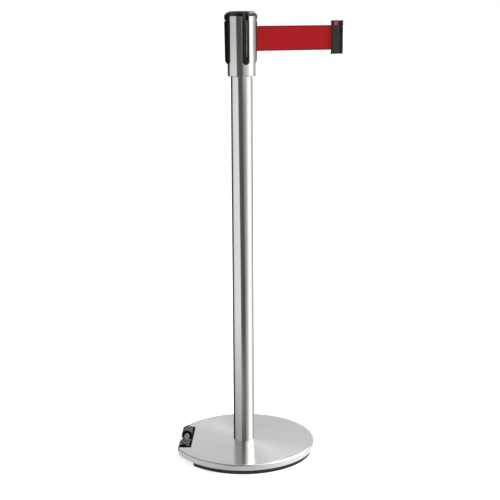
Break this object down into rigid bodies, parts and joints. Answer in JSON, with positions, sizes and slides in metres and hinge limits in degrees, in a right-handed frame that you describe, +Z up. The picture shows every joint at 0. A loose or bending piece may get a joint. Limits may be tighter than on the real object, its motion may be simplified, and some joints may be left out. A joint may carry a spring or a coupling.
{
  "type": "retractable belt stanchion",
  "caption": "Retractable belt stanchion with a weighted round base, transport wheels, a steel tube post, and a head with belt receivers and a spring-return belt on an end clip.",
  "frame": {"origin": "centre of the base on the floor, on the post's axis", "axes": "+Z up along the post, +X the way the belt is drawn out, the wheels 159 degrees counter-clockwise from +X"},
  "size_m": [0.369, 0.3, 0.925],
  "materials": {
    "stainless": "fine brushed stainless, lengthwise on the tube and circular on the base",
    "weight_iron": "black painted casting",
    "black_rubber": "matt moulded rubber",
    "tyre_rubber": "treaded rubber",
    "gloss_black": "glossy injection moulded",
    "matte_black": "fine texture",
    "grey_plastic": "satin",
    "zinc_steel": "zinc plated",
    "spring_steel": "blued spring strip",
    "bush_brass": "turned",
    "felt": "pressed felt",
    "belt_web": "woven polyester webbing",
    "clip_plastic": "satin moulded",
    "lock_red": "glossy moulded"
  },
  "bodies": {
    "post": {"base_cover": "stainless", "base_weight": "weight_iron", "floor_ring": "black_rubber", "wheel_housing": "matte_black", "housing_screws": "zinc_steel", "wheel_axle": "zinc_steel", "axle_clips": "zinc_steel", "hub_spacer": "grey_plastic", "post_tube": "stainless", "base_plug": "matte_black", "tie_rod": "zinc_steel", "base_nut": "zinc_steel", "base_washer": "zinc_steel", "top_nut": "zinc_steel", "head_sleeve": "stainless", "sleeve_ring": "stainless", "sleeve_adaptor": "matte_black", "head_chassis": "matte_black", "head_plate": "zinc_steel", "plate_screws": "zinc_steel", "receiver_left": "gloss_black", "receiver_front": "gloss_black", "receiver_back": "gloss_black", "belt_guide": "gloss_black", "top_cap": "gloss_black", "cap_insert": "gloss_black", "cap_screw": "zinc_steel", "spool_shaft": "zinc_steel", "brake_washer": "felt", "belt_lead": "belt_web"},
    "wheel_left": {"wheel_core_left": "matte_black", "wheel_tyre_left": "tyre_rubber"},
    "wheel_right": {"wheel_core_right": "matte_black", "wheel_tyre_right": "tyre_rubber"},
    "spool": {"spool": "matte_black", "lower_bush": "bush_brass", "upper_bush": "bush_brass", "spring_cup": "zinc_steel", "spring_cover": "zinc_steel", "power_spring": "spring_steel", "belt_roll": "belt_web"},
    "belt_end": {"belt_strip": "belt_web", "clip_front": "clip_plastic", "clip_back": "clip_plastic", "clip_screws": "zinc_steel", "lock_spring": "spring_steel"},
    "lock": {"lock_button": "lock_red"}
  },
  "joints": [
    {"name": "wheel_left_spin", "type": "hinge", "parent": "post", "child": "wheel_left", "pos_m": [-0.10358, 0.08175, 0.0165], "axis": [-0.3584, -0.9336, 0], "continuous": true},
    {"name": "wheel_right_spin", "type": "hinge", "parent": "post", "child": "wheel_right", "pos_m": [-0.13168, 0.00856, 0.0165], "axis": [-0.3584, -0.9336, 0], "continuous": true},
    {"name": "belt_pull", "type": "slide", "parent": "post", "child": "belt_end", "axis": [1, 0, 0], "range_m": [-0.1625, 1.8], "deforming": ["belt_strip"]},
    {"name": "spool_spin", "type": "hinge", "parent": "post", "child": "spool", "pos_m": [0, 0, 0.8705], "axis": [0, 0, 1], "range_deg": [-590, 6200], "deforming": ["power_spring"]},
    {"name": "lock_press", "type": "slide", "parent": "belt_end", "child": "lock", "axis": [0, 1, 0], "range_m": [0, 0.0012], "stiffness_N_per_m": 400, "springref_m": -0.001, "deforming": ["lock_spring"]}
  ],
  "couplings": [
    {"joint": "spool_spin", "follows": "belt_pull", "rad_per_m": 60}
  ]
}
